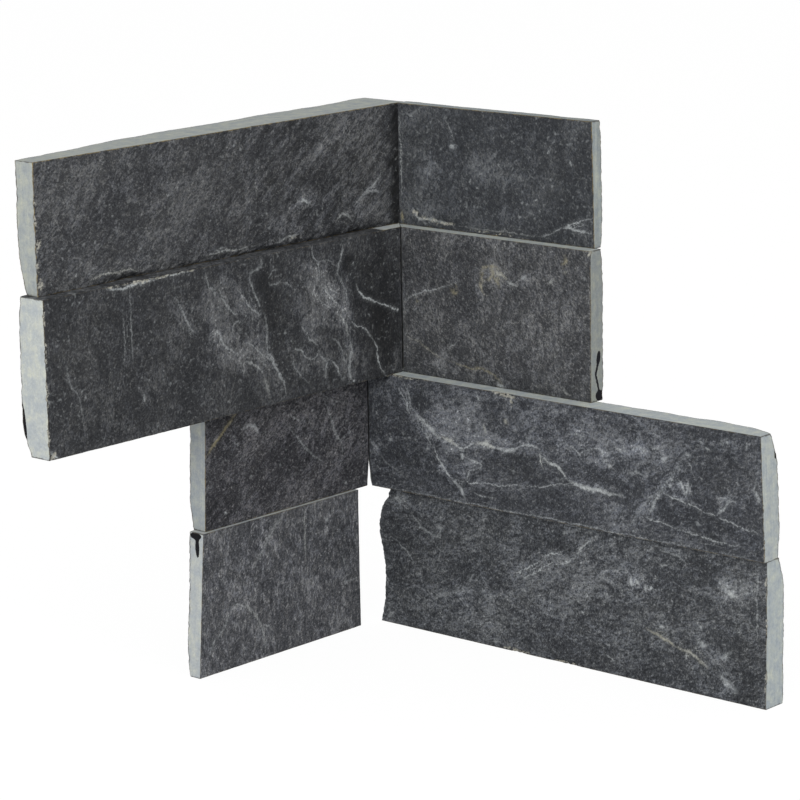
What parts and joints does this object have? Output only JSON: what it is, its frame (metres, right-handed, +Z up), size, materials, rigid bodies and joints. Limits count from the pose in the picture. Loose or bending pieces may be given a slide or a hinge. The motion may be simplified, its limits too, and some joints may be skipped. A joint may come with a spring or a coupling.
{
  "type": "stone cladding corner piece",
  "caption": "L-shaped slate cladding corner with staggered strips: flat riven inner faces, rough split outer faces, sawn beds and ends, stepped free ends that interlock.",
  "frame": {"origin": "centre of the overall box in plan, at the bottom bed", "axes": "+Z up; the left wing runs along +X and the right wing along +Y, so the inside of the corner faces +X and +Y"},
  "size_m": [0.1728, 0.1772, 0.18],
  "materials": {
    "slate": "riven dark slate, sawn pale grey at beds and ends"
  },
  "bodies": {
    "root": {"left_wing_row_1": "slate", "left_wing_row_2": "slate", "left_wing_row_3": "slate", "left_wing_row_4": "slate", "right_wing_row_1": "slate", "right_wing_row_2": "slate", "right_wing_row_3": "slate", "right_wing_row_4": "slate"}
  },
  "joints": []
}
